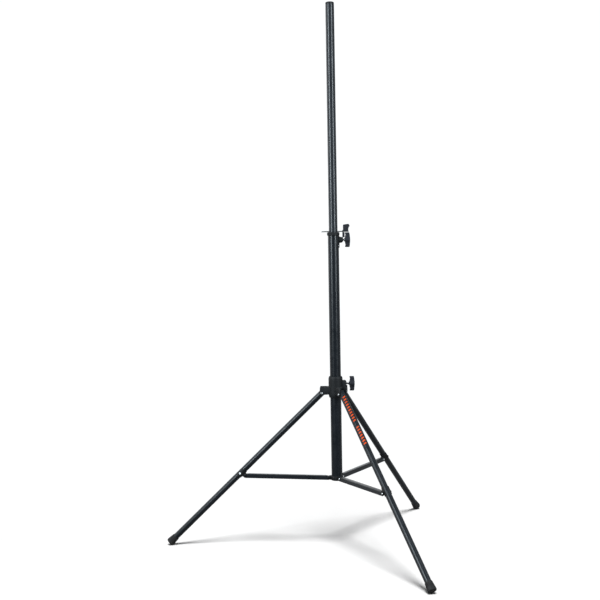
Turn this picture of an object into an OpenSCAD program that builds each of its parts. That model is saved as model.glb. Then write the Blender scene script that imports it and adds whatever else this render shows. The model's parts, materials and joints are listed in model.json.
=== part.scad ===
// Telescopic tripod stand for a PA loudspeaker, standing open on its three legs.
// Millimetres. Z is up and the floor is z = 0. The mast stands beside the middle of the
// footprint, so that the middle of the whole stand's box is x = 0, y = 0.
// Leg a points along -X. Leg b is 120 degrees round from it, front right. Leg c is rear right.

/* [Mast] */
// outside diameter of the telescopic pole, which fits a 35 mm speaker socket
pole_d = 35; // [33:0.5:36]
// outside diameter of the main tube
tube_d = 44; // [43:0.5:46]
// wall of the pole and of the main tube
mast_wall = 1.5; // [1.25:0.25:2]
// height of the top of the pole with the stand fully extended
pole_top = 2178; // [2100:1:2200]
// height of the top of the main tube's bush, which the safety pin rests on
bush_top = 1267; // [1240:1:1290]
// how far the pole goes down into the main tube
pole_travel = 780; // [720:6:780]
// length of pole left inside the main tube when the pole is fully up
pole_held = 200; // [180:1:220]

/* [Tripod] */
// outside diameter of a leg tube
leg_d = 25; // [24:0.5:25]
// leg's angle from upright when the stand is open
leg_angle = 46; // [42:0.5:48]
// strut's rise from level when the stand is open
strut_rise = 1.5; // [0:0.5:3]
// leg's length from its pivot in the collar to the end of its foot
leg_length = 880; // [840:1:900]
// distance down the leg from its pivot to the strut's pivot
strut_station = 460; // [440:1:470]
// distance of the strut's pivot from the leg's centre line
bracket_reach = 22; // [22:0.5:23]
// distance of the strut's hub pivot from the mast's centre line
hub_reach = 34; // [34:0.5:35]

/* [Knobs] */
// span of a T knob from wing tip to wing tip
knob_span = 59; // [50:1:60]
// pitch of the clamp studs' M8 thread
thread_pitch = 1.25; // [1:0.25:1.5]

/* [Hidden] */
$fn = 64;
play = 0.06;                        // radial running clearance of a sliding or turning fit
leg_names = ["a", "b", "c"];
leg_turns = [180, 300, 60];

pole_r = pole_d / 2;
tube_r = tube_d / 2;
bore_r = tube_r - mast_wall;
leg_r = leg_d / 2;
leg_wall = 1.2;

// linkage: each strut is as long as lets its leg fold parallel to the mast
collar_reach = hub_reach + bracket_reach;
strut_length = (strut_station * sin(leg_angle) + bracket_reach * (1 - cos(leg_angle)))
             / cos(strut_rise);

// feet
foot_r = 17;
foot_height = 36;
foot_end_z = 9.8;                   // height of the middle of the foot's end
collar_z = foot_end_z + leg_length * cos(leg_angle);
hub_z = collar_z - strut_station * cos(leg_angle) - bracket_reach * sin(leg_angle)
      - strut_length * sin(strut_rise);
foot_out = collar_reach + leg_length * sin(leg_angle);
// the middle of the footprint's box, seen from the mast
mast_x = (foot_out + foot_r * cos(leg_angle) - foot_out / 2 - foot_r * 0.9) / 2;

// mast heights
tube_base = hub_z - 7;
tube_top = bush_top - 8;
pole_base = bush_top - pole_held;
cap_height = 8;
socket_depth = 104;                 // length of pole that goes into a speaker's socket
line_z = pole_top - cap_height - socket_depth;
pin_z = bush_top + 3.2;
pin_r = 2.5;
pin_pitch = pole_travel / 6;
clamp_z = bush_top - 30.5;

// clamp pads and studs
pad_r = 5.5;
pad_hole_r = pad_r + 0.3;
stud_r = 4;
stud_hole_r = stud_r + 0.1;
nut_r = 7.5;
nut_height = 6;
upper_pad_end = pole_r + 6;
upper_boss_end = 36;
upper_neck = 43;
keeper_x = 36.4;                    // the pin keeper's side towards the mast
keeper_thick = 2.5;
stud_z = collar_z + 38;
lower_pad_end = tube_r + 6;
lower_boss_end = 43;
lower_neck = 52.5;
knob_neck = 3.5;
knob_thick = 21;

// collar
collar_r = 28.5;
collar_bore_r = 25;
collar_top = 66;                    // above the leg pivots
collar_bottom = -18;
ear_gap = leg_r + 0.5;              // half the gap between the ear's cheeks
cheek = 4;

// pivots, rivets and struts
hub_skin = 2.8;                     // the hub's wall outside the main tube
rivet_r = 3;
rivet_hole_r = rivet_r + 0.08;
strut_half = 8.5;                   // half the strut's height
strut_wide = 9;                     // half the strut's width
strut_skin = 1.5;
lug_half = 7;                       // half the thickness of the lugs inside the strut
lug_r = 6.7;
web_gap = 11;                       // from a pivot to the start of the strut's web
saddle_r = 14.5;
bolt_station = strut_station + 8;

// ---- placing ----

// from the mast's own frame, with its centre line on Z, into the stand's frame
module on_mast() {
    translate([mast_x, 0, 0]) children();
}

// a leg's frame: origin at its ear pivot, Z up the leg, X away from the mast, Y along the pivot
module on_leg(turn) {
    on_mast() rotate([0, 0, turn]) translate([collar_reach, 0, collar_z])
        rotate([0, -leg_angle, 0]) children();
}

// a strut's frame: origin at its hub pivot, X along the strut, Y along the pivot
module on_strut(turn) {
    on_mast() rotate([0, 0, turn]) translate([hub_reach, 0, hub_z])
        rotate([0, -strut_rise, 0]) children();
}

// a cylinder along X from x0 to x1
module x_rod(r, x0, x1) {
    translate([x0, 0, 0]) rotate([0, 90, 0]) cylinder(r = r, h = x1 - x0);
}

// a cylinder along Y from y0 to y1
module y_rod(r, y0, y1) {
    translate([0, y0, 0]) rotate([-90, 0, 0]) cylinder(r = r, h = y1 - y0);
}

// a tapered round rivet head standing on the plane y = y0, on the side that `side` gives
module rivet_head(r, y0, side) {
    translate([0, side * y0, 0]) rotate([-90 * side, 0, 0]) cylinder(r1 = r, r2 = r * 0.6, h = 2.4);
}

// a flat outline in X and Z, made `wide` thick about y = 0
module slab(wide) {
    rotate([90, 0, 0]) translate([0, 0, -wide / 2]) linear_extrude(wide) children();
}

// ---- mast ----

module main_tube() {
    color("#26282b") on_mast() difference() {
        translate([0, 0, tube_base]) cylinder(r = tube_r, h = tube_top - tube_base);
        translate([0, 0, tube_base - 1]) cylinder(r = bore_r, h = tube_top - tube_base + 2);
        translate([0, 0, clamp_z]) x_rod(pad_hole_r + 0.3, 0, tube_r + 5);
        for (turn = [-24, 24])
            rotate([0, 0, turn]) translate([0, 0, clamp_z - 24]) x_rod(2.1, 0, tube_r + 5);
        for (turn = [0, 120, 240])
            rotate([0, 0, turn]) translate([0, 0, hub_z]) x_rod(2.1, 0, tube_r + 5);
    }
}

module upper_bush() {
    r0 = pole_r + play;
    color("#1b1c1e") on_mast() difference() {
        rotate_extrude() polygon([
            [r0, bush_top - 80], [bore_r - 0.1, bush_top - 80], [bore_r - 0.1, tube_top + 0.03],
            [tube_r + 0.03, tube_top + 0.03], [tube_r + 0.03, bush_top - 14],
            [tube_r + 1, bush_top - 14], [tube_r + 3, bush_top - 10], [tube_r + 3, bush_top - 2],
            [tube_r + 1, bush_top], [r0, bush_top]
        ]);
        translate([0, 0, clamp_z]) x_rod(pad_hole_r, 0, tube_r);
    }
}

module clamp_housing() {
    low = bush_top - 62;
    high = bush_top - 14.3;
    color("#1b1c1e") on_mast() difference() {
        union() {
            intersection() {
                translate([0, 0, low]) cylinder(r = tube_r + 2.8, h = high - low);
                translate([0, 0, low - 1]) linear_extrude(high - low + 2)
                    polygon([[0, 0], [40, -44], [40, 44]]);
            }
            translate([tube_r - 2, 0, clamp_z]) rotate([0, 90, 0])
                cylinder(r1 = 13, r2 = 11, h = upper_boss_end - tube_r + 2);
        }
        translate([0, 0, low - 1]) cylinder(r = tube_r + 0.03, h = 80);
        translate([0, 0, clamp_z]) x_rod(pad_hole_r, 0, upper_pad_end + 3.5);
        translate([0, 0, clamp_z]) x_rod(stud_hole_r, 0, 60);
        translate([upper_pad_end + 4, 0, clamp_z]) rotate([0, 90, 0])
            cylinder(r = nut_r + 0.1, h = nut_height + 0.2, $fn = 6);
        for (turn = [-24, 24])
            rotate([0, 0, turn]) translate([0, 0, clamp_z - 24]) x_rod(2.1, 0, 40);
    }
}

module clamp_nut() {
    color("#b9bcc0") on_mast() translate([upper_pad_end + 4.1, 0, clamp_z]) rotate([0, 90, 0])
        difference() {
            cylinder(r = nut_r, h = nut_height, $fn = 6);
            translate([0, 0, -1]) cylinder(r = stud_hole_r, h = nut_height + 2);
        }
}

module clamp_rivets() {
    color("#b9bcc0") on_mast() for (turn = [-24, 24])
        rotate([0, 0, turn]) translate([0, 0, clamp_z - 24]) {
            x_rod(2, bore_r + 0.1, tube_r + 3.2);
            translate([tube_r + 2.85, 0, 0]) rotate([0, 90, 0]) cylinder(r1 = 3.6, r2 = 2.2, h = 1.6);
        }
}

// strap from the upper stud to the safety pin, with an eye round each and a thick middle
module pin_keeper() {
    rise = pin_z - clamp_z;
    color("#17181a") on_mast() translate([keeper_x, 0, clamp_z]) difference() {
        union() {
            x_rod(8, 0, keeper_thick);
            translate([0, 0, rise]) x_rod(6, 0, keeper_thick);
            translate([0, -3.5, 0]) cube([keeper_thick, 7, rise]);
            translate([0, -3.5, 10]) cube([9, 7, rise - 13.2]);
        }
        x_rod(stud_r + 0.4, -1, keeper_thick + 1);
        translate([0, 0, rise]) x_rod(pin_r + 0.4, -1, keeper_thick + 1);
    }
}

module hub() {
    ring_r = tube_r + hub_skin;
    low = tube_base - 3;
    high = hub_z + 8.3;
    color("#1b1c1e") on_mast() difference() {
        union() {
            rotate_extrude() polygon([
                [0, low], [ring_r - 2, low], [ring_r, low + 2], [ring_r, high - 1],
                [ring_r - 1, high], [0, high]
            ]);
            for (turn = leg_turns) rotate([0, 0, turn]) translate([0, 0, hub_z]) {
                slab(2 * lug_half) polygon([
                    [ring_r - 4, -8.3], [ring_r + 2.8, -8.3], [hub_reach, -lug_r],
                    [hub_reach, lug_r], [ring_r + 2.8, 8.3], [ring_r - 4, 8.3]
                ]);
                translate([hub_reach, 0, 0]) y_rod(lug_r, -lug_half, lug_half);
            }
        }
        translate([0, 0, tube_base - 0.05]) cylinder(r = tube_r + 0.03, h = 40);
        translate([0, 0, low - 1]) cylinder(r = 8, h = 10);
        for (turn = leg_turns) rotate([0, 0, turn])
            translate([hub_reach, 0, hub_z]) y_rod(rivet_hole_r, -20, 20);
        for (turn = [0, 120, 240])
            rotate([0, 0, turn]) translate([0, 0, hub_z]) x_rod(2.1, 15, 40);
    }
}

module hub_screws() {
    color("#8d9094") on_mast() for (turn = [0, 120, 240])
        rotate([0, 0, turn]) translate([0, 0, hub_z]) {
            x_rod(2, bore_r + 0.3, tube_r + hub_skin + 0.5);
            difference() {
                translate([tube_r + hub_skin + 0.05, 0, 0]) rotate([0, 90, 0])
                    cylinder(r1 = 4, r2 = 3, h = 1.8);
                translate([tube_r + hub_skin + 1.1, -0.5, -6]) cube([2, 1, 12]);
            }
        }
}

// ---- pole ----

module pole() {
    top = pole_top - cap_height;
    color("#2a2c30") on_mast() difference() {
        translate([0, 0, pole_base]) cylinder(r = pole_r, h = top - pole_base);
        translate([0, 0, pole_base - 1]) cylinder(r = pole_r - mast_wall, h = top - pole_base + 2);
        // the height holes, for the safety pin
        for (i = [0:6]) translate([0, 0, pin_z + i * pin_pitch]) x_rod(pin_r + 0.7, -25, 25);
        // fine scribed line that marks how deep the pole goes into a speaker's socket
        translate([0, 0, line_z - 0.6]) difference() {
            cylinder(r = pole_r + 1, h = 1.2);
            translate([0, 0, -1]) cylinder(r = pole_r - 0.25, h = 4);
        }
    }
}

module pole_cap() {
    top = pole_top;
    r = pole_r - 0.3;
    color("#141516") on_mast() rotate_extrude() polygon([
        [0, top - 30], [pole_r - mast_wall - 0.05, top - 30],
        [pole_r - mast_wall - 0.05, top - cap_height + 0.02], [r, top - cap_height + 0.02],
        [r, top - 3], [r - 1, top - 1], [r - 3, top], [0, top]
    ]);
}

module pole_guide() {
    color("#c9c6bd") on_mast() rotate_extrude() polygon([
        [6, pole_base - 9], [bore_r - 1, pole_base - 9], [bore_r - 0.08, pole_base - 8],
        [bore_r - 0.08, pole_base - 0.02], [pole_r - mast_wall - 0.05, pole_base - 0.02],
        [pole_r - mast_wall - 0.05, pole_base + 20], [6, pole_base + 20]
    ]);
}

// ---- clamps ----

// a pressure pad along X, from x0 to x1
module pad(x0, x1) {
    difference() {
        x_rod(pad_r, x0, x1);
        x_rod(2, x1 - 1.5, x1 + 1);
    }
}

// a T knob along X with its neck starting at x0 and a blind socket for its stud
module t_knob(x0) {
    end = x0 + knob_neck + knob_thick;
    half = knob_span / 2;
    crown = 160;
    difference() {
        union() {
            translate([x0, 0, 0]) rotate([0, 90, 0]) cylinder(r1 = 6, r2 = 11, h = knob_neck + 3);
            intersection() {
                translate([x0 + knob_neck, 0, 0]) rotate([0, 90, 0]) linear_extrude(knob_thick)
                    union() {
                        circle(r = 12.5);
                        translate([-half + 8, -8]) square([2 * half - 16, 16]);
                        for (side = [-1, 1]) translate([side * (half - 8), 0]) circle(r = 8);
                    }
                translate([end - crown, 0, 0]) y_rod(crown, -20, 20, $fn = 128);
            }
        }
        x_rod(stud_r + 0.02, x0 - 1, x0 + 12);
        // finger hollows on the mast's side of the wings
        for (side = [-1, 1])
            translate([x0 + knob_neck - 10, 0, side * half * 0.66]) y_rod(12, -20, 20);
    }
}

// a stud along X: a plain core with its thread's crests drawn as rings
module stud(x0, x1) {
    difference() {
        x_rod(stud_r, x0, x1);
        for (x = [x0 + 2.5 : 2 * thread_pitch : x1 - 13])
            translate([x, 0, 0]) rotate([0, 90, 0]) difference() {
                cylinder(r = stud_r + 1, h = thread_pitch);
                translate([0, 0, -1]) cylinder(r = stud_r - 0.5, h = thread_pitch + 2);
            }
    }
}

module upper_pad() {
    color("#d8d4c8") on_mast() translate([0, 0, clamp_z]) pad(pole_r + 0.05, upper_pad_end);
}

module upper_stud() {
    color("#b9bcc0") on_mast() translate([0, 0, clamp_z]) stud(upper_pad_end + 0.05, upper_neck + 11.9);
}

module upper_knob() {
    color("#1d1e20") on_mast() translate([0, 0, clamp_z]) t_knob(upper_neck);
}

module lower_pad() {
    color("#d8d4c8") on_mast() translate([0, 0, stud_z]) pad(tube_r + 0.05, lower_pad_end);
}

module lower_stud() {
    color("#b9bcc0") on_mast() translate([0, 0, stud_z]) stud(lower_pad_end + 0.05, lower_neck + 11.9);
}

module lower_knob() {
    color("#1d1e20") on_mast() translate([0, 0, stud_z]) t_knob(lower_neck);
}

// ---- safety pin ----

module pin_rod() {
    color("#c3c6ca") on_mast() translate([0, 0, pin_z]) union() {
        x_rod(pin_r, -46, 62);
        translate([-49, 0, 0]) rotate([0, 90, 0]) cylinder(r1 = 1.2, r2 = pin_r, h = 3);
    }
}

module pin_grip() {
    color("#17181a") on_mast() translate([0, 0, pin_z]) difference() {
        slab(12) polygon([
            [39.4, 0.6], [39.2, 25], [42, 27], [60, 29.5], [64, 27], [66, 21], [64, 17.5],
            [60.5, 17.5], [60.5, 0.6]
        ]);
        x_rod(pin_r + 0.02, 30, 80);
    }
}

// ---- collar ----

module leg_collar() {
    low = collar_z + collar_bottom;
    high = collar_z + collar_top;
    color("#1b1c1e") on_mast() difference() {
        union() {
            rotate_extrude() polygon([
                [collar_bore_r - 3, low], [collar_bore_r + 0.9, low], [collar_r, low + 11],
                [collar_r, high - 6], [collar_r - 2, high - 0.5], [collar_bore_r - 3, high - 0.5]
            ]);
            for (turn = leg_turns) rotate([0, 0, turn]) translate([0, 0, collar_z]) ear();
            translate([0, 0, collar_z]) slab(22) polygon([
                [24, 4], [lower_boss_end - 3, 4], [lower_boss_end, 8], [lower_boss_end, 46],
                [lower_boss_end - 4, 51], [24, 51]
            ]);
        }
        translate([0, 0, low - 1]) cylinder(r = collar_bore_r, h = 120);
        for (turn = leg_turns) rotate([0, 0, turn])
            translate([collar_reach, 0, collar_z]) y_rod(rivet_hole_r, -30, 30);
        translate([0, 0, stud_z]) x_rod(pad_hole_r, 0, lower_pad_end + 3.5);
        translate([0, 0, stud_z]) x_rod(stud_hole_r, 0, 60);
        translate([lower_pad_end + 4, 0, stud_z]) rotate([0, 90, 0])
            cylinder(r = nut_r + 0.1, h = nut_height + 0.2, $fn = 6);
    }
}

// one ear of the collar: two cheeks joined close to the collar
module ear() {
    out = collar_reach;
    for (side = [-1, 1]) translate([0, side * (ear_gap + cheek / 2), 0]) slab(cheek) union() {
        polygon([
            [20, -5], [20, 24], [22, 26], [out + 5, 26], [out + 7, 24], [out + 8.5, 0],
            [out, -8.5], [out - 9, -5]
        ]);
        translate([out, 0]) circle(r = 8.5);
    }
    slab(2 * ear_gap + 1) translate([20, -5]) square([15, 31]);
}

module collar_bush() {
    low = collar_z + collar_bottom;
    high = collar_z + collar_top;
    r0 = tube_r + play;
    color("#101112") on_mast() difference() {
        rotate_extrude() polygon([
            [r0, low], [collar_bore_r - 0.03, low], [collar_bore_r - 0.03, high - 0.45],
            [collar_r - 2.5, high - 0.45], [collar_r - 3, high + 1.2], [r0, high + 1.2]
        ]);
        translate([0, 0, stud_z]) x_rod(pad_hole_r, 0, 40);
    }
}

module collar_nut() {
    color("#b9bcc0") on_mast() translate([lower_pad_end + 4.1, 0, stud_z]) rotate([0, 90, 0])
        difference() {
            cylinder(r = nut_r, h = nut_height, $fn = 6);
            translate([0, 0, -1]) cylinder(r = stud_hole_r, h = nut_height + 2);
        }
}

// heads of the leg pivots, one on each cheek of each ear
module ear_rivets() {
    color("#c9ccd0") on_mast() for (turn = leg_turns) rotate([0, 0, turn])
        translate([collar_reach, 0, collar_z]) {
            y_rod(rivet_r, ear_gap + 0.1, ear_gap + cheek + 1);
            y_rod(rivet_r, -ear_gap - cheek - 1, -ear_gap - 0.1);
            for (side = [-1, 1]) rivet_head(4.4, ear_gap + cheek + 0.02, side);
        }
}

// ---- legs ----

module leg_tube(turn) {
    foot_end = leg_length - 6;
    color("#26282b") on_leg(turn) difference() {
        translate([0, 0, -foot_end]) cylinder(r = leg_r, h = foot_end + 9);
        translate([0, 0, -foot_end - 1]) cylinder(r = leg_r - leg_wall, h = foot_end + 11);
        y_rod(rivet_r + 0.1, -20, 20);
        translate([0, 0, -bolt_station]) y_rod(rivet_r + 0.1, -20, 20);
    }
}

module leg_plug(turn) {
    r = leg_r - leg_wall - 0.05;
    color("#141516") on_leg(turn) difference() {
        rotate_extrude() polygon([
            [0, -18], [r, -18], [r, 9.02], [leg_r, 9.02], [leg_r - 0.4, 10.5], [leg_r - 3.5, 12.6],
            [0, 13]
        ]);
        y_rod(rivet_r + 0.1, -20, 20);
    }
}

// shank of the leg's pivot
module leg_pivot(turn) {
    color("#c9ccd0") on_leg(turn) y_rod(rivet_r, -leg_r, leg_r);
}

module leg_bracket(turn) {
    color("#1b1c1e") on_leg(turn) difference() {
        union() {
            translate([0, 0, -strut_station - 20]) cylinder(r = saddle_r, h = 34);
            slab(2 * lug_half) union() {
                polygon([
                    [-bracket_reach, -strut_station - lug_r], [-9, -strut_station - 14],
                    [-9, -strut_station + lug_r], [-bracket_reach, -strut_station + lug_r]
                ]);
                translate([-bracket_reach, -strut_station]) circle(r = lug_r);
            }
        }
        translate([0, 0, -strut_station - 30]) cylinder(r = leg_r + 0.03, h = 60);
        // the saddle goes round the strut's side of the leg only
        translate([7, -20, -strut_station - 30]) cube([20, 40, 60]);
        translate([-bracket_reach, 0, -strut_station]) y_rod(rivet_hole_r, -20, 20);
        translate([0, 0, -bolt_station]) y_rod(rivet_r + 0.1, -20, 20);
    }
}

// bolt through the bracket and the leg, with its locking nut on the other side
module bracket_bolt(turn) {
    color("#c9ccd0") on_leg(turn) translate([0, 0, -bolt_station]) {
        y_rod(rivet_r, -saddle_r - 5, saddle_r + 1);
        translate([0, saddle_r + 0.02, 0]) rotate([-90, 0, 0]) cylinder(r1 = 5.2, r2 = 3.4, h = 3);
        translate([0, -saddle_r - 0.02, 0]) rotate([90, 0, 0]) cylinder(r = 5.8, h = 4, $fn = 6);
    }
}

module foot(turn) {
    color("#101012") difference() {
        on_leg(turn) difference() {
            rotate_extrude() polygon([
                [0, -leg_length], [foot_r - 3.4, -leg_length], [foot_r - 1, -leg_length + 1.1],
                [foot_r, -leg_length + 3.6], [foot_r - 0.2, -leg_length + 9],
                [leg_r + 2.2, -leg_length + foot_height - 5],
                [leg_r + 1.9, -leg_length + foot_height - 1],
                [leg_r + 1.2, -leg_length + foot_height], [0, -leg_length + foot_height]
            ]);
            translate([0, 0, -leg_length + 6]) cylinder(r = leg_r + 0.03, h = 60);
        }
        translate([-1500, -1500, -60]) cube([3000, 3000, 60]);
    }
}

// printed marking: two plain rows of slanted bars along leg b
module leg_decal() {
    bars = concat([for (i = [0:9]) 22 + 13 * i], [for (i = [0:6]) 172 + 13 * i]);
    color("#d7502d") on_leg(leg_turns[1]) rotate([0, 0, -30]) intersection() {
        translate([0, 0, -300]) difference() {
            cylinder(r = leg_r + 0.25, h = 300);
            translate([0, 0, -1]) cylinder(r = leg_r + 0.02, h = 302);
        }
        for (station = bars)
            translate([8, 0, -station]) rotate([22, 0, 0])
                translate([0, -6, -2.8]) cube([10, 12, 5.6]);
    }
}

// ---- struts ----

module strut(turn) {
    color("#26282b") on_strut(turn) difference() {
        union() {
            for (side = [-1, 1])
                translate([0, side * (strut_wide - strut_skin / 2), 0]) slab(strut_skin) union() {
                    translate([0, -strut_half]) square([strut_length, 2 * strut_half]);
                    circle(r = strut_half);
                    translate([strut_length, 0]) circle(r = strut_half);
                }
            translate([web_gap, -strut_wide, strut_half - strut_skin])
                cube([strut_length - 2 * web_gap, 2 * strut_wide, strut_skin]);
        }
        for (x = [0, strut_length]) translate([x, 0, 0]) y_rod(rivet_r + 0.02, -20, 20);
    }
}

module strut_rivets(turn) {
    color("#c9ccd0") on_strut(turn) for (x = [0, strut_length]) translate([x, 0, 0]) {
        y_rod(rivet_r, -strut_wide - 1, strut_wide + 1);
        for (side = [-1, 1]) rivet_head(4.2, strut_wide + 0.02, side);
    }
}

main_tube();
upper_bush();
clamp_housing();
clamp_nut();
clamp_rivets();
pin_keeper();
hub();
hub_screws();
pole();
pole_cap();
pole_guide();
upper_pad();
upper_knob();
upper_stud();
pin_rod();
pin_grip();
leg_collar();
collar_bush();
collar_nut();
ear_rivets();
lower_pad();
lower_knob();
lower_stud();
leg_tube(leg_turns[0]);  // leg_tube_a
leg_tube(leg_turns[1]);  // leg_tube_b
leg_tube(leg_turns[2]);  // leg_tube_c
leg_plug(leg_turns[0]);  // leg_plug_a
leg_plug(leg_turns[1]);  // leg_plug_b
leg_plug(leg_turns[2]);  // leg_plug_c
leg_pivot(leg_turns[0]);  // leg_pivot_a
leg_pivot(leg_turns[1]);  // leg_pivot_b
leg_pivot(leg_turns[2]);  // leg_pivot_c
leg_bracket(leg_turns[0]);  // leg_bracket_a
leg_bracket(leg_turns[1]);  // leg_bracket_b
leg_bracket(leg_turns[2]);  // leg_bracket_c
bracket_bolt(leg_turns[0]);  // bracket_bolt_a
bracket_bolt(leg_turns[1]);  // bracket_bolt_b
bracket_bolt(leg_turns[2]);  // bracket_bolt_c
foot(leg_turns[0]);  // foot_a
foot(leg_turns[1]);  // foot_b
foot(leg_turns[2]);  // foot_c
leg_decal();
strut(leg_turns[0]);  // strut_a
strut(leg_turns[1]);  // strut_b
strut(leg_turns[2]);  // strut_c
strut_rivets(leg_turns[0]);  // strut_rivets_a
strut_rivets(leg_turns[1]);  // strut_rivets_b
strut_rivets(leg_turns[2]);  // strut_rivets_c
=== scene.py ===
"""Looks of a telescopic tripod stand for a PA loudspeaker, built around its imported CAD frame.

Pieces are made in millimetres, each in its own part's frame, and placed in metres in the row frame.
"""

import json
import math

import bmesh
import bpy
from mathutils import Matrix, Vector


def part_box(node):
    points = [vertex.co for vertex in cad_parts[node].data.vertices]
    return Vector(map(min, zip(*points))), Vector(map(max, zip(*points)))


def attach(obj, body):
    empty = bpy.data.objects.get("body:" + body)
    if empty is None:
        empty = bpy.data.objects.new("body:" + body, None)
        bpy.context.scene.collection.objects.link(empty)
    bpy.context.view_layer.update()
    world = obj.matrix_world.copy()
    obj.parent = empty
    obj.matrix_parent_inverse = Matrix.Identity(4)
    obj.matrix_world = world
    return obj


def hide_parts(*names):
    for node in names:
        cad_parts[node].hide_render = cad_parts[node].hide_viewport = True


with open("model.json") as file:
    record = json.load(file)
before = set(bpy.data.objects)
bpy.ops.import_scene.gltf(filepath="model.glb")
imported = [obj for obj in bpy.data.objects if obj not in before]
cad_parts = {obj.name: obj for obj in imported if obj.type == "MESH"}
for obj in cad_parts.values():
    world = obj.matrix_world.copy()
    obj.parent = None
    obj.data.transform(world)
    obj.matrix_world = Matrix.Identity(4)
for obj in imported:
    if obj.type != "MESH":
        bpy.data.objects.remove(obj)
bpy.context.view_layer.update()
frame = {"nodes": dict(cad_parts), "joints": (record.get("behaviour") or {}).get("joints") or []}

MM = 0.001
LEGS = ("a", "b", "c")
SEGMENTS = 64
SMOOTH_ANGLE = math.radians(38)


# ---- where things are, from the frame ----

def joint(name):
    """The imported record's joint of that name."""
    return next(j for j in frame["joints"] if j["name"] == name)


def centre(node):
    """Middle of a CAD node's box."""
    low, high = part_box(node)
    return (low + high) / 2


def half_width(node):
    """Half of an upright CAD node's width, in millimetres."""
    low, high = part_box(node)
    return (high.y - low.y) / 2 / MM


def top(node):
    """Height of the top of a CAD node, in millimetres."""
    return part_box(node)[1].z / MM


def bottom(node):
    """Height of the bottom of a CAD node, in millimetres."""
    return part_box(node)[0].z / MM


def frame_at(origin, x_axis, y_axis, z_axis):
    """Matrix from millimetres in a part's own frame to metres in the row frame."""
    turn = Matrix((x_axis, y_axis, z_axis)).transposed().to_4x4()
    return Matrix.Translation(origin) @ turn @ Matrix.Scale(MM, 4)


def ring_middle(node, place, high_end):
    """Middle of the ring of vertices at one end of a CAD tube, given a rough frame along it."""
    local = [place.inverted() @ v.co for v in frame["nodes"][node].data.vertices]
    pick = max if high_end else min
    end = pick(p.z for p in local)
    ring = [p for p in local if abs(p.z - end) < 0.5]
    return place @ (sum(ring, Vector()) / len(ring))


MAST_X = centre("pole").x
mast = Matrix.Translation((MAST_X, 0, 0)) @ Matrix.Scale(MM, 4)
POLE_R = half_width("pole")
TUBE_R = half_width("main_tube")
BUSH_TOP = top("upper_bush")
POLE_TOP = top("pole_cap")
CLAMP_Z = joint("upper_knob_turn")["pos_m"][2] / MM
STUD_Z = joint("lower_knob_turn")["pos_m"][2] / MM
PIN_Z = centre("pin_rod").z / MM
COLLAR_Z = centre("leg_pivot_a").z / MM
HUB_Z = joint("strut_a_hinge")["pos_m"][2] / MM
HUB_REACH = (MAST_X - joint("strut_a_hinge")["pos_m"][0]) / MM
COLLAR_REACH = (MAST_X - centre("leg_pivot_a").x) / MM

# Sizes that are not read from the frame, in millimetres.
TUBE_SEAT = TUBE_R + 0.03     # bore of what is fixed round the main tube
SLIDE_GAP = 0.06              # round a tube that slides in a bush
CAST_SKIN = 2.8               # wall of a casting round the main tube
HEAD_SEAT = 2.82              # where a head sits on that wall
LEG_R = 12.5
LEG_SEAT = 12.53              # bore of what is fixed round a leg
PIVOT_R = 3.0                 # shanks of the rivets and bolts in the legs and struts
BRACKET_Z = -460.0            # heights in a leg's frame, which starts at the ear pivot
BOLT_Z = -468.0
FOOT_Z = -880.0


def turned(leg):
    """The mast's frame turned so that X points along a leg."""
    x, y = joint(f"strut_{leg}_hinge")["pos_m"][:2]
    return mast @ Matrix.Rotation(math.atan2(y, x - MAST_X), 4, "Z")


def strut_length(leg):
    """Distance between a strut's two pivots, in millimetres."""
    inner, outer = joint(f"strut_{leg}_hinge")["pos_m"], joint(f"leg_{leg}_hinge")["pos_m"]
    return (Vector(outer) - Vector(inner)).length / MM


def leg_frame(leg):
    """A leg's frame: origin at its ear pivot, Z up the leg, Y along the pivot."""
    pivot = centre(f"leg_pivot_{leg}")
    across = -Vector(joint(f"leg_{leg}_hinge")["axis"])
    points = [v.co for v in frame["nodes"][f"leg_tube_{leg}"].data.vertices]
    far_end = max(points, key=lambda p: (p - pivot).length)
    rough_up = (pivot - far_end).normalized()
    rough = frame_at(pivot, across.cross(rough_up), across, rough_up)
    up = (pivot - ring_middle(f"leg_tube_{leg}", rough, False)).normalized()
    return frame_at(pivot, across.cross(up), across, up)


def strut_frame(leg):
    """A strut's frame: origin at its hub pivot, X along the strut, Y along the pivot."""
    inner = Vector(joint(f"strut_{leg}_hinge")["pos_m"])
    outer = Vector(joint(f"leg_{leg}_hinge")["pos_m"])
    across = -Vector(joint(f"leg_{leg}_hinge")["axis"])
    along = (outer - inner).normalized()
    return frame_at(inner, along, across, along.cross(across))


leg_frames = {leg: leg_frame(leg) for leg in LEGS}
strut_frames = {leg: strut_frame(leg) for leg in LEGS}


# ---- mesh tools ----

TO_X = Matrix.Rotation(math.radians(90), 4, "Y")      # a lathe's axis turned from Z to X
TO_Y = Matrix.Rotation(math.radians(-90), 4, "X")     # from Z to Y
TO_MINUS_Y = Matrix.Rotation(math.radians(90), 4, "X")
UPRIGHT = Matrix.Rotation(math.radians(90), 4, "X")   # an outline's Y turned up to Z


def shifted(x=0, y=0, z=0):
    return Matrix.Translation((x, y, z))


def arc(middle, radius, start, end, steps=12):
    """Points on an arc, with its angles in degrees."""
    angles = [math.radians(start + (end - start) * i / steps) for i in range(steps + 1)]
    return [(middle[0] + radius * math.cos(a), middle[1] + radius * math.sin(a)) for a in angles]


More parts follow.
